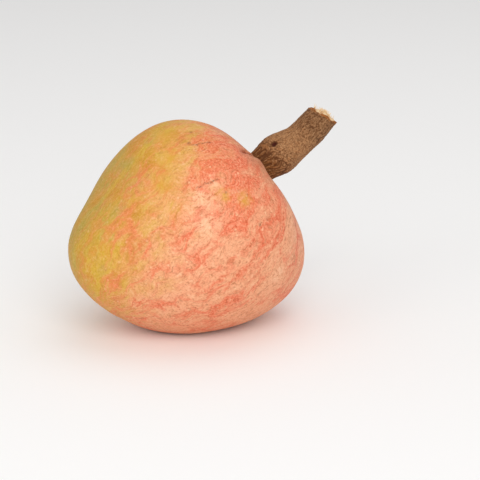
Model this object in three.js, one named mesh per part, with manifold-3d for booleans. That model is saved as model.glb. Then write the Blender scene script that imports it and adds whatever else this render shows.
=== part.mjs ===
// A custard apple: one whole smooth-skinned fruit lying on its side, with its woody stalk.
// Millimetres, +Z up. The fruit's own axis runs from its far tip to the stalk, and leans
// up to +X. The origin is on the surface it lies on, under the middle of the object's box.
import * as THREE from "three";
import { mergeVertices } from "three/addons/utils/BufferGeometryUtils.js";
import Module from "manifold-3d";

const wasm = await Module();
wasm.setup();

// The fruit's body about its own axis: an egg with square shoulders at the stalk
// and a rounder, narrower tip. A squareness of 2 is an ellipse.
const STALK_SIDE = 45.5; // from the middle to the skin under the stalk
const TIP_SIDE = 52; // from the middle to the tip
const HALF_WIDTH = 49;
const SHOULDER_SQUARENESS = 2.38;
const TIP_SQUARENESS = 1.82;
const CROWN_DIP = 1.5; // the shallow dip that the stalk stands in
const CROWN_DIP_SPREAD = 15; // degrees
const SKIN_DETAIL = 17; // each icosahedron edge is cut this many times

// Swellings and hollows of the body. Polar angles run from the stalk, and azimuths
// round the axis from its upper side, in degrees. Heights are in millimetres.
const SWELLINGS = [
  { polar: 60, azimuth: -2, height: 2, spread: 33 }, // upper shoulder
  { polar: 106, azimuth: 3, height: -4.5, spread: 22 }, // hollow of the upper flank
  { polar: 148, azimuth: 14, height: 10, spread: 26 }, // lobe beside the tip
  { polar: 68, azimuth: 181, height: 10.5, spread: 32 }, // heavy lower shoulder
];

// How it lies: the axis rises from the horizontal and is turned from +X to the back.
const AXIS_RISE = 38; // degrees
const AXIS_TURN = 20; // degrees
const FLAT_DEPTH = 3; // how far its own weight flattens the underside
const FLAT_BLEND = 1.2; // the flat spot's edge rounds off within this height

// The stalk, from inside the fruit to where it snapped off: distance along the axis
// from the middle, bow towards the underside, and radius.
const STALK_STATIONS = [
  { along: 38, bow: 0.6, radius: 7.4 },
  { along: 46, bow: 1.2, radius: 8 },
  { along: 55, bow: 2.3, radius: 9.9 },
  { along: 62, bow: 3.2, radius: 8.9 },
  { along: 68, bow: 3.9, radius: 7.9 },
  { along: 77, bow: 3.3, radius: 7.9 },
  { along: 84, bow: 2.2, radius: 7.5 },
];
const STALK_SIDES = 30;
const STALK_RINGS = 24;
const BARK_LOBE = 0.04; // share of the radius that the bark's three broad lobes stand out
const BREAK_SLOPE = 0.18; // the broken end reaches further on the underside
const BREAK_TEETH = 0.6; // height of the broken end's coarse teeth
const SOCKET_GAP = 0.3; // between the stalk and the flesh that holds it

const radians = THREE.MathUtils.degToRad;

// A bump of height 1 at angle 0 that has faded out at about twice its spread.
const bump = (angle, spread) => Math.exp(-((angle / spread) ** 2));

// Unit direction in the fruit's own frame, with +Z to the stalk and +X the upper side.
function direction(polar, azimuth) {
  const crosswise = Math.sin(radians(polar));
  return new THREE.Vector3(
    crosswise * Math.cos(radians(azimuth)),
    crosswise * Math.sin(radians(azimuth)),
    Math.cos(radians(polar)),
  );
}

// Distance from the middle to the skin, in a unit direction with +Z to the stalk.
function skinRadius(way) {
  const stalkSide = way.z > 0;
  const reach = stalkSide ? STALK_SIDE : TIP_SIDE;
  const power = stalkSide ? SHOULDER_SQUARENESS : TIP_SQUARENESS;
  const lengthwise = (Math.abs(way.z) / reach) ** power;
  const crosswise = (Math.hypot(way.x, way.y) / HALF_WIDTH) ** power;
  const egg = (lengthwise + crosswise) ** (-1 / power);
  const degreesTo = (other) => THREE.MathUtils.radToDeg(way.angleTo(other));
  const dip = CROWN_DIP * bump(degreesTo(new THREE.Vector3(0, 0, 1)), CROWN_DIP_SPREAD);
  const swell = SWELLINGS.reduce((sum, { polar, azimuth, height, spread }) => {
    return sum + height * bump(degreesTo(direction(polar, azimuth)), spread);
  }, 0);
  return egg - dip + swell;
}

// Moves every vertex of a geometry by a function that changes it in place.
function moveVertices(geometry, change) {
  const position = geometry.getAttribute("position");
  const vertex = new THREE.Vector3();
  for (let i = 0; i < position.count; i++) {
    vertex.fromBufferAttribute(position, i);
    change(vertex);
    position.setXYZ(i, vertex.x, vertex.y, vertex.z);
  }
  return geometry;
}

// The turn from the fruit's own frame (+Z to the stalk, +X its upper side) to how it lies.
function lyingTurn() {
  const axis = new THREE.Vector3(1, 0, 0)
    .applyAxisAngle(new THREE.Vector3(0, -1, 0), radians(AXIS_RISE))
    .applyAxisAngle(new THREE.Vector3(0, 0, 1), radians(AXIS_TURN));
  const upper = new THREE.Vector3(0, 0, 1).projectOnPlane(axis).normalize();
  const across = new THREE.Vector3().crossVectors(axis, upper);
  return new THREE.Matrix4().makeBasis(upper, across, axis);
}

// Height after pressing: flat below the surface, and rounded off just above it.
function pressed(height) {
  if (height >= FLAT_BLEND) return height;
  if (height <= -FLAT_BLEND) return 0;
  return (height + FLAT_BLEND) ** 2 / (4 * FLAT_BLEND);
}

function bodyGeometry(turn) {
  const body = new THREE.IcosahedronGeometry(1, SKIN_DETAIL);
  moveVertices(body, (vertex) => {
    vertex.normalize();
    vertex.multiplyScalar(skinRadius(vertex));
  });
  return body.applyMatrix4(turn);
}

// A round bar bent and swollen along the stalk's stations, with a sloping, toothed end.
function stalkGeometry(turn, grow) {
  const line = new THREE.CatmullRomCurve3(
    STALK_STATIONS.map((s) => new THREE.Vector3(-s.bow, 0, s.along)),
    false,
    "catmullrom",
  );
  const girth = new THREE.SplineCurve(
    STALK_STATIONS.map((s) => new THREE.Vector2(s.along, s.radius)),
  );
  const across = new THREE.Vector3(0, 1, 0);
  const bar = new THREE.CylinderGeometry(1, 1, 1, STALK_SIDES, STALK_RINGS);
  moveVertices(bar, (vertex) => {
    const share = vertex.y + 0.5;
    const angle = Math.atan2(-vertex.z, vertex.x);
    const fill = Math.hypot(vertex.x, vertex.z);
    const tangent = line.getTangent(share);
    const upper = new THREE.Vector3().crossVectors(across, tangent);
    const lobes = 1 + BARK_LOBE * Math.cos(3 * angle + 1 + 2 * share);
    const radius = fill * (girth.getPoint(share).y * lobes + grow);
    const slope = -BREAK_SLOPE * radius * Math.cos(angle);
    const teeth = BREAK_TEETH * fill * Math.sin(5 * angle + 1);
    const ahead = (slope + teeth) * share ** 8 - grow * (1 - share) ** 8;
    line.getPoint(share, vertex);
    vertex.addScaledVector(upper, radius * Math.cos(angle));
    vertex.addScaledVector(across, radius * Math.sin(angle));
    vertex.addScaledVector(tangent, ahead);
  });
  return bar.applyMatrix4(turn);
}

function toSolid(geometry) {
  const bare = geometry.clone();
  bare.deleteAttribute("normal");
  bare.deleteAttribute("uv");
  const merged = mergeVertices(bare);
  const mesh = new wasm.Mesh({
    numProp: 3,
    vertProperties: merged.getAttribute("position").array,
    triVerts: new Uint32Array(merged.index.array),
  });
  return new wasm.Manifold(mesh);
}

function toGeometry(solid) {
  const { vertProperties, triVerts } = solid.getMesh();
  const geometry = new THREE.BufferGeometry();
  geometry.setAttribute("position", new THREE.BufferAttribute(vertProperties, 3));
  geometry.setIndex(new THREE.BufferAttribute(triVerts, 1));
  geometry.computeVertexNormals();
  return geometry;
}

function named(name, geometry, material) {
  const mesh = new THREE.Mesh(geometry, new THREE.MeshStandardMaterial(material));
  mesh.name = name;
  return mesh;
}

const turn = lyingTurn();
const body = bodyGeometry(turn);
body.computeBoundingBox();
const floorHeight = body.boundingBox.min.z + FLAT_DEPTH;
body.translate(0, 0, -floorHeight);
moveVertices(body, (vertex) => vertex.setZ(pressed(vertex.z)));

const stalk = stalkGeometry(turn, 0).translate(0, 0, -floorHeight);
const socket = stalkGeometry(turn, SOCKET_GAP).translate(0, 0, -floorHeight);

const custardApple = new THREE.Group();
custardApple.add(
  named("fruit", toGeometry(toSolid(body).subtract(toSolid(socket))), {
    color: "#dd9a5c",
    roughness: 0.55,
    metalness: 0,
  }),
  named("stem", toGeometry(toSolid(stalk)), {
    color: "#99683f",
    roughness: 0.85,
    metalness: 0,
  }),
);

// The origin goes under the middle of the whole object's box.
const middle = new THREE.Box3().setFromObject(custardApple).getCenter(new THREE.Vector3());
custardApple.position.set(-middle.x, -middle.y, 0);

export default custardApple;
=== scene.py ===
"""A whole custard apple lying on its side: mottled rind, barked stalk and torn wood at its end.

Sizes are in metres, angles in radians unless a name says degrees, and colours are sRGB hex values."""

import math
import random

import bpy
from mathutils import Matrix, Vector, noise
from mathutils.geometry import intersect_point_line


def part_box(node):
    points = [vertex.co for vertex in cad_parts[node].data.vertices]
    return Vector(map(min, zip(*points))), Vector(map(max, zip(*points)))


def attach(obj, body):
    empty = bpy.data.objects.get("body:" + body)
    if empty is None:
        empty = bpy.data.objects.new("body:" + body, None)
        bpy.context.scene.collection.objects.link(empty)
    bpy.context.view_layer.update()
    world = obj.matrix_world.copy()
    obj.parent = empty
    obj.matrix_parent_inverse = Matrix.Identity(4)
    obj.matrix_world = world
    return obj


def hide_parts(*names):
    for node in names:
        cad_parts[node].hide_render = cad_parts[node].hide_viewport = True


bl_info = {
    "name": "Custard apple",
    "version": (1, 0, 0),
    "blender": (4, 5, 0),
    "location": "View3D > Sidebar > Custard apple",
    "description": "Models a custard apple's rind, stalk and torn wood round its packed solids",
    "category": "Add Mesh",
}

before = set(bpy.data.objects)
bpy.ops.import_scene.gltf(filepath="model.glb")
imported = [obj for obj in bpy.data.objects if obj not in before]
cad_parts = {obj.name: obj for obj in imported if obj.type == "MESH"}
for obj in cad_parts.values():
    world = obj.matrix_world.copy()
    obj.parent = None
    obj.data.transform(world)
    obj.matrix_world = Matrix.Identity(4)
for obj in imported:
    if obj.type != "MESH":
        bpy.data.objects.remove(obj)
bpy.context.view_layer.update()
FRUIT_LOW, FRUIT_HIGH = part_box("fruit")

MM = 0.001

# The fruit's own frame: its middle as shares of its box, and how its axis lies.
MIDDLE_SHARE = Vector((0.5, 0.494, 0.468))
AXIS_RISE = math.radians(38)
AXIS_TURN = math.radians(20)
MIDDLE = FRUIT_LOW + (FRUIT_HIGH - FRUIT_LOW) * MIDDLE_SHARE
GIRTH_RADIUS = 50 * MM  # about the fruit's radius, which turns angles into distances


def own_turn():
    """The fruit's own frame in the row's: columns are its upper side, its near side and its stalk."""
    level = Vector((math.cos(AXIS_TURN), math.sin(AXIS_TURN), 0))
    axis = level * math.cos(AXIS_RISE) + Vector((0, 0, math.sin(AXIS_RISE)))
    upper = (Vector((0, 0, 1)) - axis * axis.z).normalized()
    return Matrix((upper, axis.cross(upper), axis)).transposed()


OWN_TURN = own_turn()
TO_OWN = OWN_TURN.transposed()


def to_own(point):
    """A point of the row frame in the fruit's own frame."""
    return TO_OWN @ (point - MIDDLE)


def own_direction(polar_degrees, azimuth_degrees):
    """Unit direction in the own frame, by angle from the stalk and round from the upper side."""
    polar, azimuth = math.radians(polar_degrees), math.radians(azimuth_degrees)
    across = math.sin(polar)
    return Vector((across * math.cos(azimuth), across * math.sin(azimuth), math.cos(polar)))


def linear(colour):
    """An sRGB hex colour as linear RGBA."""
    shares = [int(colour[i : i + 2], 16) / 255 for i in (0, 2, 4)]
    return (*[s / 12.92 if s <= 0.04045 else ((s + 0.055) / 1.055) ** 2.4 for s in shares], 1.0)


def bump(offset, width):
    """A smooth bump: 1 at offset 0, and faded out by about twice its width."""
    return math.exp(-((offset / width) ** 2))


def ease(value, start, end):
    """0 at start and 1 at end, with a smooth way between them."""
    share = min(1.0, max(0.0, (value - start) / (end - start)))
    return share * share * (3 - 2 * share)


# Sizes and colours that a user would change


def colour_property(name, description, colour):
    return bpy.props.FloatVectorProperty(
        name=name,
        description=description,
        subtype="COLOR",
        size=4,
        min=0,
        max=1,
        default=linear(colour),
    )


def length_property(name, description, metres):
    return bpy.props.FloatProperty(
        name=name, description=description, unit="LENGTH", min=0, default=metres
    )


class RindSettings(bpy.types.PropertyGroup):
    """Sizes and colours of the rind."""

    undulation: length_property("Undulation", "Height of the broad swells", 0.35 * MM)
    grain: length_property("Grain", "Width of the finest grains of the rind", 1.0 * MM)
    stroke: length_property("Stroke", "Width of the corky threads that run lengthwise", 1.2 * MM)
    pore_gap: length_property("Pore gap", "Distance between the pale breathing pores", 4.2 * MM)
    net_cell: length_property("Net cell", "Width of the blush's net", 5.6 * MM)
    ochre: colour_property("Ochre", "Shaded side, darker", "C98F25")
    golden: colour_property("Golden", "Shaded side, lighter", "DFA342")
    lemon: colour_property("Lemon", "Bright patches of the shaded side", "D3AA38")
    olive: colour_property("Olive", "Green that ripening has left", "AC963C")
    salmon: colour_property("Salmon", "Sunny side, paler", "EDA67E")
    coral: colour_property("Coral", "Sunny side, deepest", "E77550")
    cream: colour_property("Cream", "Corky pale patches and threads", "F8CFA6")
    # Grey brown round the stalk end: partly the skin's own colour, partly painted shade of the darker
    # rim.
    collar_grey_and_shade: colour_property("Scurf", "Grey brown skin round the stalk", "B98464")
    # The scar colour also paints the crease beside the stalk: painted shade in the fold.
    scar: colour_property("Scar", "Dark specks and the crease", "6C2F06")


class StalkSettings(bpy.types.PropertyGroup):
    """Sizes and colours of the stalk."""

    furrow_depth: length_property("Furrow depth", "Depth of the bark's furrows", 0.32 * MM)
    furrow_gap: length_property("Furrow gap", "Distance between furrows", 1.1 * MM)
    splinters: bpy.props.IntProperty(
        name="Splinters", description="Torn fibres that stand on the break", min=0, default=220
    )
    dark: colour_property("Dark bark", "Bark beside the fruit", "7A481C")
    tan: colour_property("Tan bark", "Bark of the middle", "AA7A50")
    bark_crest: colour_property("Bark crests", "Worn tops of the bark's wrinkles", "B98F66")
    grey: colour_property("Grey bark", "Weathered bark near the break", "8E6642")
    furrow: colour_property("Furrow", "Bottom of the furrows", "542C0C")
    bud_scar: colour_property("Bud scar", "Pit where a bract fell", "4A1A08")
    inner_bark: colour_property("Inner bark", "Orange ring under the bark", "A8601F")
    wood: colour_property("Torn wood", "Pale fibres of the break", "EBCDA0")


class StageSettings(bpy.types.PropertyGroup):
    """The floor, the lights and the camera."""

    camera_distance: length_property("Camera distance", "From the lens to the fruit", 0.8)
    camera_rise: bpy.props.FloatProperty(
        name="Camera rise",
        description="Angle of the view above the horizon",
        subtype="ANGLE",
        default=math.radians(16),
    )
    lens: bpy.props.FloatProperty(
        name="Lens", description="Focal length in millimetres", default=128.4
    )
    floor: colour_property("Floor", "Pale board under the fruit", "FAF9F8")


# Making meshes and materials


def deselect_all():
    if bpy.context.mode != "OBJECT":
        bpy.ops.object.mode_set(mode="OBJECT")
    bpy.ops.object.select_all(action="DESELECT")


def make_active(piece):
    deselect_all()
    piece.select_set(True)
    bpy.context.view_layer.objects.active = piece


def select_faces(piece, wanted):
    """Selects the faces that wanted() says yes to, and leaves the piece in edit mode."""
    make_active(piece)
    bpy.ops.object.mode_set(mode="EDIT")
    bpy.ops.mesh.select_mode(type="FACE")
    bpy.ops.mesh.select_all(action="DESELECT")
    bpy.ops.object.mode_set(mode="OBJECT")
    for face in piece.data.polygons:
        face.select = wanted(face)
    bpy.ops.object.mode_set(mode="EDIT")


def finish_with(piece, kind, **settings):
    """Adds a modifier with these settings to the piece, and applies it."""
    make_active(piece)
    modifier = piece.modifiers.new(kind.title(), kind)
    for name, value in settings.items():
        setattr(modifier, name, value)
    bpy.ops.object.modifier_apply(modifier=modifier.name)


def store(piece, name, kind, values):
    """Writes one value or vector for each vertex as an attribute that materials read."""
    attribute = piece.data.attributes.new(name, kind, "POINT")
    field = "vector" if kind == "FLOAT_VECTOR" else "value"
    flat = [x for value in values for x in value] if kind == "FLOAT_VECTOR" else values
    attribute.data.foreach_set(field, flat)


def merged_copy(name, node):
    """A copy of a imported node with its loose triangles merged."""
    copy = bpy.data.objects.new(name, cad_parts[node].data.copy())
    bpy.context.scene.collection.objects.link(copy)
    copy.data.materials.clear()
    make_active(copy)
    bpy.ops.object.mode_set(mode="EDIT")
    bpy.ops.mesh.select_all(action="SELECT")
    bpy.ops.mesh.remove_doubles(threshold=0.001 * MM)
    bpy.ops.mesh.customdata_custom_splitnormals_clear()
    bpy.ops.object.mode_set(mode="OBJECT")
    return copy


def add_node(tree, kind, inputs=None, **settings):
    """Adds a shader node. An input given as a socket is linked, and any other value is set."""
    made = tree.nodes.new("ShaderNode" + kind)
    for name, value in settings.items():
        setattr(made, name, value)
    for name, value in (inputs or {}).items():
        if isinstance(value, bpy.types.NodeSocket):
            tree.links.new(value, made.inputs[name])
        else:
            made.inputs[name].default_value = value
    return made


def new_material(name):
    """An empty node material, and its node tree."""
    material = bpy.data.materials.new(name)
    material.use_nodes = True
    material.node_tree.nodes.clear()
    return material, material.node_tree


# The stalk's line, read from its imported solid

SLAB = 1.6 * MM
STALK_STEP = 2 * MM


def stalk_centres():
    """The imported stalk's centres in the own frame, a step apart, from inside the fruit to its end."""
    points = [to_own(v.co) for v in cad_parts["stem"].data.vertices]
    start = min(p.z for p in points) + SLAB
    steps = int((max(p.z for p in points) - 3 * SLAB - start) / STALK_STEP)
    centres = []
    for i in range(steps + 1):
        along = start + i * STALK_STEP
        slab = [p for p in points if abs(p.z - along) < SLAB]
        centres.append(sum(slab, Vector()) / len(slab))
    return centres


STALK_CENTRES = stalk_centres()


def from_stalk(own):
    """(distance from the stalk's line, angle round it from the upper side) of an own-frame point."""
    place = (own.z - STALK_CENTRES[0].z) / STALK_STEP
    place = min(max(place, 0), len(STALK_CENTRES) - 1.001)
    lower = STALK_CENTRES[int(place)]
    centre = lower.lerp(STALK_CENTRES[int(place) + 1], place % 1)
    offset = own - centre
    return math.hypot(offset.x, offset.y), math.atan2(offset.y, offset.x)


# Rind

RIND_CUTS = 13  # cuts across each side of the cube that becomes the fruit
RIND_LEVELS = 3
FINE_REACH = 26 * MM  # the rind is cut finer within this distance of the stalk
SOCKET_RADIUS = 9 * MM
SOCKET_DEPTH = 42 * MM  # skin is further than this from the middle, and the socket's floor nearer

# The near shoulder swells in front of the stalk, and a crease parts it from the upper one.
SHOULDERS = [
    # angle from the stalk, angle round from the upper side, height, width
    (17, 60, 1.5 * MM, 6 * MM),
    (42, 112, 1.3 * MM, 12 * MM),
    (14, 122, -1.3 * MM, 5 * MM),
]
CREASE = {"azimuth": 44, "start": 21 * MM, "end": 32 * MM, "depth": 1.8 * MM, "width": 1.1 * MM}
TIP_SCAR = {"width": 2.4 * MM, "depth": 1.1 * MM}
SPECK_DEPTH = 0.15 * MM
RESTING_FADE = 5 * MM  # swells fade out towards the flat spot within this height

# Marks on the rind: angle from the stalk, angle round from the upper side, and size in millimetres.
SPECKS = [
    (56, 18, 0.6),
    (62, 27, 0.5),
    (59, 31, 0.45),
    (52, 32, 0.6),
    (66, 65, 0.55),
    (57, 75, 0.5),
    (57, 95, 0.6),
    (63, 93, 0.6),
    (43, 130, 1.0),
    (40, 124, 0.7),
]
# Healed scratches: the places that each runs through, and its width in millimetres.
SCRATCHES = [
    (((76, 53), (74, 54), (71, 54), (69, 55.5), (66, 56), (64, 57)), 0.32),
    (((63, 27), (61, 30), (57, 31), (52, 32)), 0.3),
]
RED_STREAKS = [(((75, 54), (74, 57), (71, 60)), 0.8)]
CORKY_PATCHES = [(77, 58, 4.6), (68, 57, 3.6), (84, 72, 5), (72, 128, 4)]
LEMON_PATCHES = [(68, 65, 3), (60, 75, 3), (76, 30, 5), (86, 40, 5.5), (68, 12, 5), (92, 52, 5)]


def closed_fruit():
    """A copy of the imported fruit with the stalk's socket closed over."""
    copy = merged_copy("closed_fruit", "fruit")

    def in_socket(face):
        own = to_own(face.center)
        reach, angle = from_stalk(own)
        outward = Vector((math.cos(angle), math.sin(angle), 0))
        faces_stalk = (TO_OWN @ face.normal).dot(outward) < -0.3
        return 0 < own.z and reach < SOCKET_RADIUS and (faces_stalk or own.z < SOCKET_DEPTH)

    select_faces(copy, in_socket)
    bpy.ops.mesh.delete(type="FACE")
    bpy.ops.mesh.select_all(action="SELECT")
    bpy.ops.mesh.fill_holes(sides=0)
    bpy.ops.object.mode_set(mode="OBJECT")
    return copy


def rounded_cube():
    """A ball of even squares round the fruit's middle, turned so that one side faces the stalk."""
    deselect_all()
    bpy.ops.mesh.primitive_cube_add(size=2.4 * GIRTH_RADIUS)
    ball = bpy.context.object
    bpy.ops.object.mode_set(mode="EDIT")
    bpy.ops.mesh.select_all(action="SELECT")
    bpy.ops.mesh.subdivide(number_cuts=RIND_CUTS)
    bpy.ops.transform.tosphere(value=1.0)
    bpy.ops.object.mode_set(mode="OBJECT")
    ball.matrix_world = Matrix.Translation(MIDDLE) @ OWN_TURN.to_4x4()
    bpy.ops.object.transform_apply(location=True, rotation=True, scale=True)
    return ball


def shoulders(own):
    """How far the rind stands out at an own-frame point round the stalk."""
    height = 0
    for polar, azimuth, lift, width in SHOULDERS:
        height += lift * bump(own.angle(own_direction(polar, azimuth)) * GIRTH_RADIUS, width)
    return height


def crease(own):
    """How deep in the crease beside the stalk an own-frame point lies, from 0 to 1."""
    if own.z < 0:
        return 0
    reach, angle = from_stalk(own)
    turn = angle - math.radians(CREASE["azimuth"]) + 0.03 * math.sin(reach / (3 * MM))
    beside = reach * math.atan2(math.sin(turn), math.cos(turn))
    fade = 1 - ease(reach, CREASE["start"], CREASE["end"])
    return bump(beside, CREASE["width"]) * fade * ease(reach, 8 * MM, 11 * MM)


def swells(own, undulation):
    """The broad and middling unevenness of a grown fruit at an own-frame point."""
    broad = noise.noise(own / (24 * MM)) * undulation
    middling = noise.noise(own / (9 * MM) + Vector((7, 3, 1))) * undulation * 0.35
    grain = noise.noise(own / (2.2 * MM)) * undulation * 0.1
    return broad + middling + grain


def tip_scar(own):
    """How deep the scar at the blossom end is at an own-frame point, from 0 to 1."""
    off_axis = math.hypot(own.x, own.y)
    return bump(off_axis, TIP_SCAR["width"]) if own.z < 0 else 0


def mark_amount(own, marks):
    """How much an own-frame point lies in any of the marks, from 0 to 1."""
    ragged = 1 + 0.5 * noise.noise(own / (1.5 * MM))
    amount = 0
    for polar, azimuth, size in marks:
        away = own.angle(own_direction(polar, azimuth)) * GIRTH_RADIUS
        if away < 3 * size * MM:
            amount = max(amount, bump(away * ragged, size * MM))
    return amount


def line_amount(own, lines):
    """How much an own-frame point lies on any of the lines, from 0 to 1."""
    ragged = 1 + 0.6 * noise.noise(own / (1.2 * MM))
    amount = 0
    for places, width in lines:
        stops = [own_direction(*place) * own.length for place in places]
        for start, end in zip(stops, stops[1:]):
            share = intersect_point_line(own, start, end)[1]
            nearest = start.lerp(end, min(max(share, 0), 1))
            away = (own - nearest).length
            if away < 3 * width * MM:
                amount = max(amount, bump(away * ragged, width * MM))
    return amount


def refine_round_stalk(rind):
    """Cuts the rind's faces round the stalk finer, for its lip and crease."""

    def is_near(face):
        own = to_own(face.center)
        return own.z > 0 and from_stalk(own)[0] < FINE_REACH

    select_faces(rind, is_near)
    bpy.ops.mesh.subdivide(number_cuts=1, smoothness=1)
    bpy.ops.object.mode_set(mode="OBJECT")


def shape_rind(rind, settings):
    """Moves the rind's vertices out and in, and stores what its material paints by."""
    marks = {"specks_and_crease_shade": [], "corky": [], "lemon": [], "red": []}
    normals = [v.normal.copy() for v in rind.data.vertices]
    for vertex, normal in zip(rind.data.vertices, normals):
        own = to_own(vertex.co)
        folded, scar, speck = crease(own), tip_scar(own), mark_amount(own, SPECKS)
        lift = swells(own, settings.undulation) * ease(vertex.co.z, 0, RESTING_FADE)
        lift += shoulders(own) - folded * CREASE["depth"]
        lift -= scar * TIP_SCAR["depth"] + speck * SPECK_DEPTH
        vertex.co += normal * lift
        vertex.co.z = max(vertex.co.z, 0)
        scratch = line_amount(own, SCRATCHES)
        # The crease is stored with the specks, so the fold is darkened too: painted shade.
        marks["specks_and_crease_shade"].append(max(speck, min(1, folded * 1.5), scar, scratch))
        marks["red"].append(line_amount(own, RED_STREAKS))
        marks["corky"].append(mark_amount(own, CORKY_PATCHES))
        marks["lemon"].append(mark_amount(own, LEMON_PATCHES))
    for name, values in marks.items():
        store(rind, name, "FLOAT", values)


# The blush lies where the sun reached: it deepens this way across the fruit.
BLUSH_WAY = Vector((0.9, -0.11, -0.37))
BLUSH_HEART = own_direction(50, 60) * GIRTH_RADIUS  # where the blush is deepest
BLUSH_REACH = (-1 * MM, 43 * MM)  # where the blush starts and where it is full, along its way
NET_REACH = (-18 * MM, 14 * MM)  # the blush's net runs further into the shaded side


def rind_places(tree):
    """The own-frame place, and a wandering place rolled out round and along the fruit."""
    place = add_node(tree, "TexCoord").outputs["Object"]
    own = add_node(
        tree,
        "Mapping",
        {"Vector": place, "Location": MIDDLE, "Rotation": OWN_TURN.to_euler()},
        vector_type="TEXTURE",
    ).outputs["Vector"]
    wander = add_node(
        tree, "TexNoise", {"Vector": own, "Scale": 1 / (12 * MM), "Detail": 4.0}
    ).outputs["Color"]
    centred = add_node(
        tree, "VectorMath", {0: wander, 1: (0.5, 0.5, 0.5)}, operation="SUBTRACT"
    ).outputs[0]
    warped = add_node(
        tree, "VectorMath", {0: centred, 1: (15 * MM,) * 3, 2: own}, operation="MULTIPLY_ADD"
    ).outputs[0]
    split = add_node(tree, "SeparateXYZ", {"Vector": warped})
    flat = add_node(tree, "CombineXYZ", {"X": split.outputs["X"], "Y": split.outputs["Y"]})
    off_axis = add_node(tree, "VectorMath", {0: flat.outputs[0]}, operation="LENGTH")
    round_way = add_node(tree, "VectorMath", {0: flat.outputs[0]}, operation="NORMALIZE")
    polar = add_node(
        tree, "Math", {0: off_axis.outputs["Value"], 1: split.outputs["Z"]}, operation="ARCTAN2"
    )
    lengthwise = add_node(tree, "CombineXYZ", {"Z": polar.outputs[0]})
    rolled = add_node(
        tree,
        "VectorMath",
        {0: lengthwise.outputs[0], 1: (1, 1, 0.5), 2: round_way.outputs[0]},
        operation="MULTIPLY_ADD",
    ).outputs[0]
    return own, rolled


def rind_patterns(tree, settings, own, rolled):
    """The rind's patterns, each from 0 to 1: net, streaks, mottle, strokes and grain."""
    cells = GIRTH_RADIUS / settings.net_cell
    strokes = GIRTH_RADIUS / settings.stroke
    edges = add_node(
        tree, "TexVoronoi", {"Vector": rolled, "Scale": cells}, feature="DISTANCE_TO_EDGE"
    ).outputs["Distance"]
    net = add_node(
        tree,
        "MapRange",
        {"Value": edges, "From Min": 0.02, "From Max": 0.2, "To Min": 1.0, "To Max": 0.0},
        interpolation_type="SMOOTHSTEP",
    ).outputs["Result"]
    streaks = add_node(
        tree, "TexNoise", {"Vector": rolled, "Scale": cells * 0.6, "Detail": 5.0, "Roughness": 0.6}
    ).outputs["Fac"]
    broken = add_node(
        tree,
        "MapRange",
        {"Value": streaks, "From Min": 0.38, "From Max": 0.6, "To Min": 0.1},
        interpolation_type="SMOOTHSTEP",
    ).outputs["Result"]
    mottle = add_node(
        tree, "TexNoise", {"Vector": own, "Scale": 1 / (9 * MM), "Detail": 5.0, "Roughness": 0.6}
    ).outputs["Fac"]
    return {
        "net": add_node(tree, "Math", {0: net, 1: broken}, operation="MULTIPLY").outputs[0],
        "streaks": streaks,
        "mottle": mottle,
        "pores": add_node(
            tree, "TexVoronoi", {"Vector": own, "Scale": 1 / settings.pore_gap}, feature="F1"
        ).outputs["Distance"],
        "strokes": add_node(
            tree,
            "TexNoise",
            {"Vector": rolled, "Scale": strokes, "Detail": 3.0, "Roughness": 0.65, "Distortion": 0.8},
        ).outputs["Fac"],
        "grain": add_node(
            tree,
            "TexNoise",
            {"Vector": own, "Scale": 1 / settings.grain, "Detail": 2.0, "Roughness": 0.7},
        ).outputs["Fac"],
    }


def blush_amounts(tree, patterns, own):
    """How blushed a place is, how far the blush's net reaches, and how far round it lies."""
    sunny = add_node(
        tree, "VectorMath", {0: own, 1: TO_OWN @ BLUSH_WAY}, operation="DOT_PRODUCT"
    ).outputs["Value"]
    ragged = add_node(
        tree, "Math", {0: patterns["mottle"], 1: 0.036, 2: sunny}, operation="MULTIPLY_ADD"
    ).outputs[0]
    ragged = add_node(
        tree, "Math", {0: patterns["streaks"], 1: 0.03, 2: ragged}, operation="MULTIPLY_ADD"
    ).outputs[0]
    reaches = []
    for start, end in (BLUSH_REACH, NET_REACH):
        reach = add_node(
            tree,
            "MapRange",
            {"Value": ragged, "From Min": start, "From Max": end},
            interpolation_type="SMOOTHSTEP",
        )
        reaches.append(reach.outputs["Result"])
    return *reaches, sunny


def shaded_side(tree, settings, patterns, sunny):
    """Colour of the side that grew in shade: ochre to golden, lemon patches, olive far round."""
    yellow = add_node(
        tree, "MapRange", {"Value": patterns["mottle"], "From Min": 0.36, "From Max": 0.62}
    ).outputs["Result"]
    colour = add_node(
        tree, "Mix", {0: yellow, 6: settings.ochre, 7: settings.golden}, data_type="RGBA"
    ).outputs[2]
    lemon = add_node(
        tree,
        "MapRange",
        {"Value": patterns["streaks"], "From Min": 0.5, "From Max": 0.36, "To Max": 0.9},
        interpolation_type="SMOOTHSTEP",
    ).outputs["Result"]
    colour = add_node(
        tree, "Mix", {0: lemon, 6: colour, 7: settings.lemon}, data_type="RGBA"
    ).outputs[2]
    far_round = add_node(
        tree, "Math", {0: sunny, 1: -11.0, 2: patterns["mottle"]}, operation="MULTIPLY_ADD"
    ).outputs[0]
    green = add_node(
        tree,
        "MapRange",
        {"Value": far_round, "From Min": 0.72, "From Max": 1.15, "To Max": 0.85},
        interpolation_type="SMOOTHSTEP",
    ).outputs["Result"]
    return add_node(
        tree, "Mix", {0: green, 6: colour, 7: settings.olive}, data_type="RGBA"
    ).outputs[2]


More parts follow.
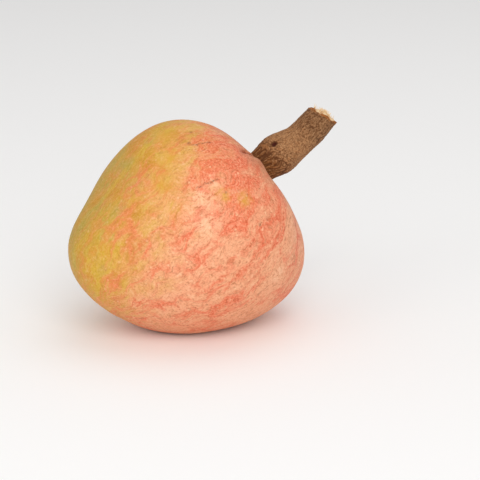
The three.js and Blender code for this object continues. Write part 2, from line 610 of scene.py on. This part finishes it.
def sunny_side(tree, settings, patterns, own):
    """Colour of the blushed side: salmon, deepening to coral in streaks towards its heart."""
    from_heart = add_node(
        tree, "VectorMath", {0: own, 1: BLUSH_HEART}, operation="DISTANCE"
    ).outputs["Value"]
    deep = add_node(
        tree,
        "MapRange",
        {"Value": from_heart, "From Min": 0.004, "From Max": 0.05, "To Min": 0.28, "To Max": -0.03},
    ).outputs["Result"]
    for name, share in (("streaks", 1.0), ("net", 0.14), ("strokes", 0.35)):
        deep = add_node(
            tree, "Math", {0: patterns[name], 1: share, 2: deep}, operation="MULTIPLY_ADD"
        ).outputs[0]
    deep = add_node(
        tree,
        "MapRange",
        {"Value": deep, "From Min": 0.62, "From Max": 1.06},
        interpolation_type="SMOOTHSTEP",
    ).outputs["Result"]
    return add_node(
        tree, "Mix", {0: deep, 6: settings.salmon, 7: settings.coral}, data_type="RGBA"
    ).outputs[2]


def paint_marks(tree, settings, patterns, colour):
    """Adds the corky and lemon patches, with ragged edges, and the dark specks, with painted shade in
    the crease beside the stalk.
    """
    layers = (
        ("corky", "strokes", settings.cream, 0.55),
        ("red", "streaks", settings.coral, 0.9),
        ("lemon", "streaks", settings.lemon, 0.75),
        # Dark specks, tip scar and scratches, and painted shade in the crease.
        ("specks_and_crease_shade", "grain", settings.scar, 0.9),
    )
    for name, pattern, paint, most in layers:
        amount = add_node(tree, "Attribute", attribute_name=name).outputs["Fac"]
        ragged = add_node(
            tree,
            "MapRange",
            {"Value": patterns[pattern], "From Min": 0.36, "From Max": 0.56, "To Max": most},
            interpolation_type="SMOOTHSTEP",
        ).outputs["Result"]
        amount = add_node(tree, "Math", {0: amount, 1: ragged}, operation="MULTIPLY").outputs[0]
        colour = add_node(
            tree, "Mix", {0: amount, 6: colour, 7: paint}, data_type="RGBA"
        ).outputs[2]
    return colour


def paint_grain(tree, settings, patterns, colour, blush):
    """Adds cork threads and fine grains, pale on top and deep between, strongest on the blush."""
    strength = add_node(
        tree, "MapRange", {"Value": blush, "To Min": 0.4, "To Max": 1.0}
    ).outputs["Result"]
    layers = (
        # pattern, where it starts, where it is full, most, blend, colour
        ("strokes", 0.54, 0.72, 0.5, "MIX", settings.cream),
        ("grain", 0.52, 0.75, 0.42, "MIX", settings.cream),
        ("pores", 0.18, 0.08, 0.5, "MIX", settings.cream),
        ("strokes", 0.47, 0.3, 0.8, "MULTIPLY", (0.62, 0.46, 0.32, 1)),
        ("grain", 0.48, 0.28, 0.55, "MULTIPLY", (0.62, 0.4, 0.26, 1)),
    )
    for name, start, full, most, mode, paint in layers:
        amount = add_node(
            tree,
            "MapRange",
            {"Value": patterns[name], "From Min": start, "From Max": full, "To Max": most},
        ).outputs["Result"]
        amount = add_node(tree, "Math", {0: amount, 1: strength}, operation="MULTIPLY").outputs[0]
        colour = add_node(
            tree, "Mix", {0: amount, 6: colour, 7: paint}, data_type="RGBA", blend_type=mode
        ).outputs[2]
    return colour


def paint_collar(tree, settings, patterns, own, colour):
    """Adds grey brown round the stalk end: partly the skin's duller colour, partly painted shade of the
    darker rim there.
    """
    along = add_node(tree, "SeparateXYZ", {"Vector": own}).outputs["Z"]
    ragged = add_node(
        tree, "Math", {0: patterns["mottle"], 1: 10 * MM, 2: along}, operation="MULTIPLY_ADD"
    ).outputs[0]
    collar = add_node(
        tree,
        "MapRange",
        {"Value": ragged, "From Min": 42 * MM, "From Max": 52 * MM, "To Max": 0.75},
        interpolation_type="SMOOTHSTEP",
    ).outputs["Result"]
    # Mixes in the grey brown: partly skin colour, partly painted shade of the rim.
    return add_node(
        tree, "Mix", {0: collar, 6: colour, 7: settings.collar_grey_and_shade}, data_type="RGBA"
    ).outputs[2]


def rind_material(settings):
    """Thin waxy rind of a ripe fruit, as it grew: satin, finely grained, with a netted blush."""
    material, tree = new_material("waxy_rind")
    own, rolled = rind_places(tree)
    patterns = rind_patterns(tree, settings, own, rolled)
    blush, net_reach, sunny = blush_amounts(tree, patterns, own)
    shaded = shaded_side(tree, settings, patterns, sunny)
    blushed = sunny_side(tree, settings, patterns, own)
    colour = add_node(
        tree, "Mix", {0: blush, 6: shaded, 7: blushed}, data_type="RGBA"
    ).outputs[2]
    net = add_node(
        tree, "Math", {0: patterns["net"], 1: net_reach}, operation="MULTIPLY"
    ).outputs[0]
    net = add_node(tree, "Math", {0: net, 1: 0.55}, operation="MULTIPLY").outputs[0]
    colour = add_node(
        tree, "Mix", {0: net, 6: colour, 7: settings.coral}, data_type="RGBA"
    ).outputs[2]
    colour = paint_collar(tree, settings, patterns, own, colour)
    colour = paint_grain(tree, settings, patterns, colour, blush)
    colour = paint_marks(tree, settings, patterns, colour)
    roughness = add_node(
        tree,
        "MapRange",
        {"Value": patterns["grain"], "From Min": 0.3, "From Max": 0.7, "To Min": 0.64, "To Max": 0.48},
    ).outputs["Result"]
    height = add_node(
        tree, "Math", {0: patterns["strokes"], 1: patterns["grain"]}, operation="ADD"
    ).outputs[0]
    relief = add_node(
        tree, "Bump", {"Height": height, "Strength": 0.6, "Distance": 0.14 * MM}
    ).outputs["Normal"]
    shader = add_node(
        tree,
        "BsdfPrincipled",
        {
            "Base Color": colour,
            "Roughness": roughness,
            "Normal": relief,
            "IOR": 1.45,
            "Specular IOR Level": 0.3,
            "Subsurface Weight": 0.05,
            "Subsurface Scale": 1.5 * MM,
            "Subsurface Radius": (1.0, 0.45, 0.2),
        },
    )
    add_node(tree, "OutputMaterial", {"Surface": shader.outputs["BSDF"]})
    return material


class CUSTARD_OT_rind(bpy.types.Operator):
    """Model the rind and paint it"""

    bl_idname = "custard_apple.rind"
    bl_label = "Rind"

    def execute(self, context):
        settings = context.scene.custard_apple_rind
        target = closed_fruit()
        rind = rounded_cube()
        rind.name = rind.data.name = "rind"
        finish_with(
            rind,
            "SHRINKWRAP",
            target=target,
            wrap_method="PROJECT",
            use_negative_direction=True,
            use_positive_direction=True,
        )
        bpy.data.objects.remove(target)
        finish_with(rind, "SUBSURF", levels=RIND_LEVELS, render_levels=RIND_LEVELS)
        refine_round_stalk(rind)
        shape_rind(rind, settings)
        make_active(rind)
        bpy.ops.object.shade_smooth()
        rind.data.materials.append(rind_material(settings))
        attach(rind, "root")
        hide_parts("fruit")
        return {"FINISHED"}


# Stalk

STALK_LEVELS = 3
BARK_GIRTH = 9 * MM  # radius at which the bark's pattern is rolled out
BARK_CRACKLE = 0.8 * MM  # width of the bark's finest wrinkles
BUD_SCAR = {"along": 56.5 * MM, "turn": math.radians(30), "width": 1.35 * MM, "depth": 1.2 * MM}
END_ALONG = 79 * MM  # the stalk's last stretch starts here
END_CENTRE = 1.5 * MM  # a face that reaches this near the line, in the last stretch, is the break
WOOD_HEART = 4.5 * MM  # the torn wood stands highest within this distance of its middle


def break_faces(mesh):
    """The faces of a stalk's broken end, which all meet at its middle."""
    middles = set()
    for vertex in mesh.vertices:
        own = to_own(vertex.co)
        if own.z > END_ALONG and from_stalk(own)[0] < END_CENTRE:
            middles.add(vertex.index)
    return [face for face in mesh.polygons if middles & set(face.vertices)]


def break_place():
    """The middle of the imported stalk's broken end, and the way it faces."""
    faces = break_faces(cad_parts["stem"].data)
    middle = sum((face.center for face in faces), Vector()) / len(faces)
    return middle, sum((face.normal for face in faces), Vector()).normalized()


def rolled_out(own):
    """The bark's pattern place of an own-frame point: round the stalk, and along it."""
    _, angle = from_stalk(own)
    return Vector((math.cos(angle) * BARK_GIRTH, math.sin(angle) * BARK_GIRTH, own.z))


def furrows(place, gap):
    """How deep in a furrow a rolled-out place is, from 0 to 1: long at the base, then fine."""
    base = ease(place.z, 62 * MM, 50 * MM)
    end = ease(place.z, 66 * MM, 74 * MM)
    wander = noise.noise_vector(place / (4 * gap)) * gap * (1 - 0.5 * base)
    winding = place + wander
    winding.z /= 2.4 + 3.2 * base
    long_furrow = max(0, 1 - abs(noise.noise(winding / gap * 0.72)) * 3.4)
    fine = place + wander * 0.6
    fine.z /= 1.4
    crackle = max(0, 1 - abs(noise.noise(fine / gap * 1.5 + Vector((5, 9, 2)))) * 2.8)
    return min(1, long_furrow * (0.3 + 0.7 * base + 0.3 * end) + crackle * (0.5 - 0.3 * base))


def shape_stalk(stalk, settings):
    """Cuts the furrows and bud scar, roughens the break, and stores what the material reads."""
    marks = {"furrow": [], "torn": [], "bud": [], "rim": []}
    ways = []
    middle, end_way = break_place()
    break_points = stalk.vertex_groups["break"].index
    normals = [v.normal.copy() for v in stalk.data.vertices]
    for vertex, normal in zip(stalk.data.vertices, normals):
        own = to_own(vertex.co)
        place = rolled_out(own)
        inner = sum(g.weight for g in vertex.groups if g.group == break_points)
        furrow = furrows(place, settings.furrow_gap) * (1 - inner)
        turn = math.atan2(place.y, place.x) - BUD_SCAR["turn"]
        away = math.hypot(turn * BARK_GIRTH, (own.z - BUD_SCAR["along"]) * 0.85)
        bud = bump(away, BUD_SCAR["width"])
        halo = bump(away - 2 * BUD_SCAR["width"], BUD_SCAR["width"]) * 0.25 * MM
        knots = noise.noise(own / (6 * MM)) * 0.25 * MM
        offset = vertex.co - middle
        heart = bump(offset.length, WOOD_HEART) * inner
        tear = (noise.noise(own / (1.1 * MM)) * 0.5 + 0.9 * heart) * MM * inner
        lift = knots * (1 - inner) - furrow * settings.furrow_depth + tear
        vertex.co += normal * (lift + halo - bud * BUD_SCAR["depth"])
        ragged = offset.dot(end_way) + noise.noise(own / (1.5 * MM)) * 0.5 * MM
        ways.append(place)
        marks["furrow"].append(furrow)
        marks["torn"].append(inner)
        marks["bud"].append(bump(away, BUD_SCAR["width"] * 1.3))
        marks["rim"].append(ease(ragged, -1.3 * MM, -0.3 * MM))
    store(stalk, "bark_way", "FLOAT_VECTOR", ways)
    for name, values in marks.items():
        store(stalk, name, "FLOAT", values)


def bark_colour(tree, settings, way):
    """Colour of the bark along the stalk: dark by the fruit, tan, then weathered, with rusty spots."""
    along = add_node(tree, "SeparateXYZ", {"Vector": way}).outputs["Z"]
    blotch = add_node(
        tree, "TexNoise", {"Vector": way, "Scale": 1 / (4 * MM), "Detail": 5.0, "Roughness": 0.65}
    ).outputs["Fac"]
    ragged = add_node(
        tree, "Math", {0: blotch, 1: 14 * MM, 2: along}, operation="MULTIPLY_ADD"
    ).outputs[0]
    colour = settings.dark
    for start, end, most, paint in (
        (54 * MM, 65 * MM, 1.0, settings.tan),
        (71 * MM, 84 * MM, 0.85, settings.grey),
    ):
        amount = add_node(
            tree,
            "MapRange",
            {"Value": ragged, "From Min": start, "From Max": end, "To Max": most},
            interpolation_type="SMOOTHSTEP",
        ).outputs["Result"]
        colour = add_node(
            tree, "Mix", {0: amount, 6: colour, 7: paint}, data_type="RGBA"
        ).outputs[2]
    rusty = add_node(
        tree,
        "TexNoise",
        {"Vector": way, "Scale": 1 / (2.5 * MM), "Detail": 3.0, "W": 3.0},
        noise_dimensions="4D",
    ).outputs["Fac"]
    rusty = add_node(
        tree, "MapRange", {"Value": rusty, "From Min": 0.56, "From Max": 0.74, "To Max": 0.4}
    ).outputs["Result"]
    return add_node(
        tree, "Mix", {0: rusty, 6: colour, 7: settings.inner_bark}, data_type="RGBA"
    ).outputs[2]


def stalk_material(settings):
    """Dry bark of a twig, as it grew: matt, furrowed, dark by the fruit, weathered at the break."""
    material, tree = new_material("dry_bark")
    way = add_node(tree, "Attribute", attribute_name="bark_way").outputs["Vector"]
    colour = bark_colour(tree, settings, way)
    fine = add_node(
        tree,
        "TexNoise",
        {
            "Vector": way,
            "Scale": 1 / BARK_CRACKLE,
            "Detail": 3.0,
            "Roughness": 0.7,
            "Distortion": 0.5,
        },
    ).outputs["Fac"]
    for start, full, mode, paint in (
        (0.5, 0.66, "MIX", settings.bark_crest),
        (0.5, 0.34, "MULTIPLY", (0.42, 0.34, 0.28, 1)),
    ):
        amount = add_node(
            tree,
            "MapRange",
            {"Value": fine, "From Min": start, "From Max": full, "To Max": 0.5},
        ).outputs["Result"]
        colour = add_node(
            tree, "Mix", {0: amount, 6: colour, 7: paint}, data_type="RGBA", blend_type=mode
        ).outputs[2]
    # Each mark on the bark: its attribute, where it starts, where it is full, its most and its colour.
    marks = (
        ("furrow", 0.15, 0.85, 0.85, settings.furrow),
        ("bud", 0.35, 0.55, 0.85, settings.furrow),
        ("bud", 0.62, 0.78, 1.0, settings.bud_scar),
        ("rim", 0.3, 1.0, 0.6, settings.inner_bark),
        ("torn", 0.5, 0.95, 1.0, settings.wood),
    )
    for name, start, full, most, paint in marks:
        amount = add_node(tree, "Attribute", attribute_name=name).outputs["Fac"]
        amount = add_node(
            tree,
            "MapRange",
            {"Value": amount, "From Min": start, "From Max": full, "To Max": most},
        ).outputs["Result"]
        colour = add_node(
            tree, "Mix", {0: amount, 6: colour, 7: paint}, data_type="RGBA"
        ).outputs[2]
    grain = add_node(
        tree, "MapRange", {"Value": fine, "From Min": 0.5, "From Max": 0.34, "To Max": 0.35}
    ).outputs["Result"]
    colour = add_node(
        tree,
        "Mix",
        {0: grain, 6: colour, 7: settings.tan},
        data_type="RGBA",
        blend_type="MULTIPLY",
    ).outputs[2]
    relief = add_node(
        tree, "Bump", {"Height": fine, "Strength": 0.6, "Distance": 0.15 * MM}
    ).outputs["Normal"]
    shader = add_node(
        tree,
        "BsdfPrincipled",
        {
            "Base Color": colour,
            "Normal": relief,
            "Roughness": 0.82,
            "IOR": 1.5,
            "Specular IOR Level": 0.25,
        },
    )
    add_node(tree, "OutputMaterial", {"Surface": shader.outputs["BSDF"]})
    return material


# Rings of the break, from the bark inwards: width, and how much of the ring's inner edge is wood.
BREAK_RINGS = ((0.35, 0), (0.3, 0.3), (0.7, 0.8), (1.4, 1), (1.5, 1), (1.6, 1))


def cut_break(context, stalk):
    """Makes the stalk's side quads and its broken end rings, whose wood is the group 'break'."""
    group = stalk.vertex_groups.new(name="break")
    ends = {face.index for face in break_faces(stalk.data)}
    select_faces(stalk, lambda face: face.index in ends)
    bpy.ops.mesh.dissolve_faces()
    bpy.ops.mesh.region_to_loop()
    bpy.ops.transform.edge_crease(value=0.8)
    bpy.ops.mesh.loop_to_region()
    for width, share in BREAK_RINGS:
        bpy.ops.mesh.inset(thickness=width * MM)
        stalk.vertex_groups.active_index = group.index
        context.tool_settings.vertex_group_weight = share
        bpy.ops.object.vertex_group_assign()
    bpy.ops.mesh.poke()
    bpy.ops.object.vertex_group_assign()
    bpy.ops.mesh.select_all(action="SELECT")
    bpy.ops.mesh.tris_convert_to_quads()
    bpy.ops.object.mode_set(mode="OBJECT")


class CUSTARD_OT_stalk(bpy.types.Operator):
    """Model the stalk's bark and its broken end"""

    bl_idname = "custard_apple.stalk"
    bl_label = "Stalk"

    def execute(self, context):
        settings = context.scene.custard_apple_stalk
        stalk = merged_copy("stalk", "stem")
        cut_break(context, stalk)
        finish_with(stalk, "SUBSURF", levels=STALK_LEVELS, render_levels=STALK_LEVELS)
        shape_stalk(stalk, settings)
        make_active(stalk)
        bpy.ops.object.shade_smooth()
        stalk.data.materials.append(stalk_material(settings))
        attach(stalk, "root")
        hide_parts("stem")
        return {"FINISHED"}


# Torn wood

SPLINTER_SEED = 11
SPLINTER_SIDES = 5
SPLINTER_SPREAD = 2.5 * MM
SPLINTER_LENGTH = (1.2 * MM, 3.1 * MM)
SPLINTER_RADIUS = (0.18 * MM, 0.42 * MM)
SPLINTER_TIP = 0.03 * MM
SPLINTER_LEAN = 0.35  # most that a fibre leans each way, as a share of its length
SPLINTER_ROOT = 1 * MM  # how deep a fibre stands in the break


def add_splinter(chance, middle, normal):
    """Adds one tapered fibre at a chance place of the break, leaning a little."""
    across = normal.cross(Vector((0, 0, 1))).normalized()
    aside = normal.cross(across)
    spread = min(abs(chance.gauss(0, SPLINTER_SPREAD)), 2 * SPLINTER_SPREAD)
    turn = chance.uniform(0, math.tau)
    place = middle + across * spread * math.cos(turn) + aside * spread * math.sin(turn)
    length = chance.uniform(*SPLINTER_LENGTH)
    lean = Vector([chance.uniform(-SPLINTER_LEAN, SPLINTER_LEAN) for _ in range(3)])
    way = (normal + lean).normalized()
    deselect_all()
    bpy.ops.mesh.primitive_cone_add(
        vertices=SPLINTER_SIDES,
        radius1=chance.uniform(*SPLINTER_RADIUS),
        radius2=SPLINTER_TIP,
        depth=length + SPLINTER_ROOT,
        location=place + way * (length - SPLINTER_ROOT) / 2,
        rotation=way.to_track_quat("Z", "Y").to_euler(),
    )
    return bpy.context.object


def torn_wood_material(settings):
    """Torn green wood, dried: pale silky fibres, orange where they leave the bark."""
    material, tree = new_material("torn_wood")
    reach = add_node(tree, "Attribute", attribute_name="reach").outputs["Fac"]
    tips = add_node(
        tree, "MapRange", {"Value": reach, "From Min": 0.0, "From Max": 0.45}
    ).outputs["Result"]
    colour = add_node(
        tree, "Mix", {0: tips, 6: settings.inner_bark, 7: settings.wood}, data_type="RGBA"
    ).outputs[2]
    shader = add_node(
        tree,
        "BsdfPrincipled",
        {"Base Color": colour, "Roughness": 0.7, "IOR": 1.5, "Specular IOR Level": 0.3},
    )
    add_node(tree, "OutputMaterial", {"Surface": shader.outputs["BSDF"]})
    return material


class CUSTARD_OT_splinters(bpy.types.Operator):
    """Model the torn fibres that stand on the broken end"""

    bl_idname = "custard_apple.splinters"
    bl_label = "Torn wood"

    def execute(self, context):
        settings = context.scene.custard_apple_stalk
        middle, normal = break_place()
        chance = random.Random(SPLINTER_SEED)
        pieces = [add_splinter(chance, middle, normal) for _ in range(settings.splinters)]
        deselect_all()
        for piece in pieces:
            piece.select_set(True)
        context.view_layer.objects.active = pieces[0]
        bpy.ops.object.join()
        torn = bpy.context.object
        torn.name = torn.data.name = "torn_wood"
        bpy.ops.object.transform_apply(location=True, rotation=True, scale=True)
        heights = [(v.co - middle).dot(normal) / SPLINTER_LENGTH[1] for v in torn.data.vertices]
        store(torn, "reach", "FLOAT", heights)
        torn.data.materials.append(torn_wood_material(settings))
        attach(torn, "root")
        return {"FINISHED"}


# Stage

AIM_ASIDE = 16.8 * MM  # the camera looks this far to the stalk's side of the object's middle
AIM_BACK = -1.9 * MM
AIM_HEIGHT = 41.3 * MM
FLOOR_SIZE = 12
SENSOR_WIDTH = 36  # millimetres
ROOM_LIGHT = 0.6
SOFTBOXES = [
    # name, place, size, strength in watts
    ("key_softbox", (0.25, -1.5, 1.1), 1.5, 15.5),
    ("fill_softbox", (-1.2, -1.2, 0.7), 1.2, 4),
    ("top_softbox", (0.3, 0.4, 1.8), 1.6, 4.5),
]


def matt_board(settings):
    """Pale painted board: flat and matt, with only a breath of unevenness."""
    material, tree = new_material("matt_board")
    place = add_node(tree, "TexCoord").outputs["Object"]
    haze = add_node(tree, "TexNoise", {"Vector": place, "Scale": 3.0}).outputs["Fac"]
    roughness = add_node(
        tree, "MapRange", {"Value": haze, "To Min": 0.85, "To Max": 0.95}
    ).outputs["Result"]
    shader = add_node(
        tree,
        "BsdfPrincipled",
        {"Base Color": settings.floor, "Roughness": roughness, "Specular IOR Level": 0.1},
    )
    add_node(tree, "OutputMaterial", {"Surface": shader.outputs["BSDF"]})
    return material


def look_at(thing, target):
    thing.rotation_euler = (target - thing.location).to_track_quat("-Z", "Y").to_euler()


class CUSTARD_OT_stage(bpy.types.Operator):
    """Lay the floor, and set the lights and the camera"""

    bl_idname = "custard_apple.stage"
    bl_label = "Stage"

    def execute(self, context):
        settings = context.scene.custard_apple_stage
        deselect_all()
        bpy.ops.mesh.primitive_plane_add(size=FLOOR_SIZE)
        floor = bpy.context.object
        floor.name = "floor"
        floor.data.materials.append(matt_board(settings))

        aim = Vector((AIM_ASIDE, AIM_BACK, AIM_HEIGHT))
        for name, place, size, watts in SOFTBOXES:
            bpy.ops.object.light_add(type="AREA", location=place)
            light = bpy.context.object
            light.name = name
            light.data.shape = "DISK"
            light.data.size = size
            light.data.energy = watts
            look_at(light, aim)

        world = bpy.data.worlds.new("studio_room")
        world.use_nodes = True
        room = world.node_tree.nodes["Background"].inputs
        room["Color"].default_value = (1, 1, 1, 1)
        room["Strength"].default_value = ROOM_LIGHT
        context.scene.world = world
        context.scene.view_settings.view_transform = "Standard"

        back = Vector((0, -math.cos(settings.camera_rise), math.sin(settings.camera_rise)))
        bpy.ops.object.camera_add(location=aim + back * settings.camera_distance)
        camera = bpy.context.object
        camera.data.lens = settings.lens
        camera.data.sensor_width = SENSOR_WIDTH
        look_at(camera, aim)
        context.scene.camera = camera
        return {"FINISHED"}


class CUSTARD_PT_maker(bpy.types.Panel):
    """Custard apple, step by step"""

    bl_idname = "CUSTARD_PT_maker"
    bl_label = "Custard apple"
    bl_space_type = "VIEW_3D"
    bl_region_type = "UI"
    bl_category = "Custard apple"

    def draw(self, context):
        for operator in OPERATORS:
            self.layout.operator(operator.bl_idname)
        for name in SETTINGS:
            box = self.layout.box()
            group = getattr(context.scene, name)
            for key in group.bl_rna.properties.keys():
                if key not in ("rna_type", "name"):
                    box.prop(group, key)


OPERATORS = (CUSTARD_OT_rind, CUSTARD_OT_stalk, CUSTARD_OT_splinters, CUSTARD_OT_stage)
SETTINGS = {
    "custard_apple_rind": RindSettings,
    "custard_apple_stalk": StalkSettings,
    "custard_apple_stage": StageSettings,
}
CLASSES = (*SETTINGS.values(), *OPERATORS, CUSTARD_PT_maker)


def register():
    for made in CLASSES:
        bpy.utils.register_class(made)
    for name, group in SETTINGS.items():
        setattr(bpy.types.Scene, name, bpy.props.PointerProperty(type=group))


def unregister():
    for name in SETTINGS:
        delattr(bpy.types.Scene, name)
    for made in reversed(CLASSES):
        bpy.utils.unregister_class(made)


def main():
    register()
    bpy.ops.custard_apple.rind()
    bpy.ops.custard_apple.stalk()
    bpy.ops.custard_apple.splinters()
    bpy.ops.custard_apple.stage()


if __name__ == "__main__":
    main()
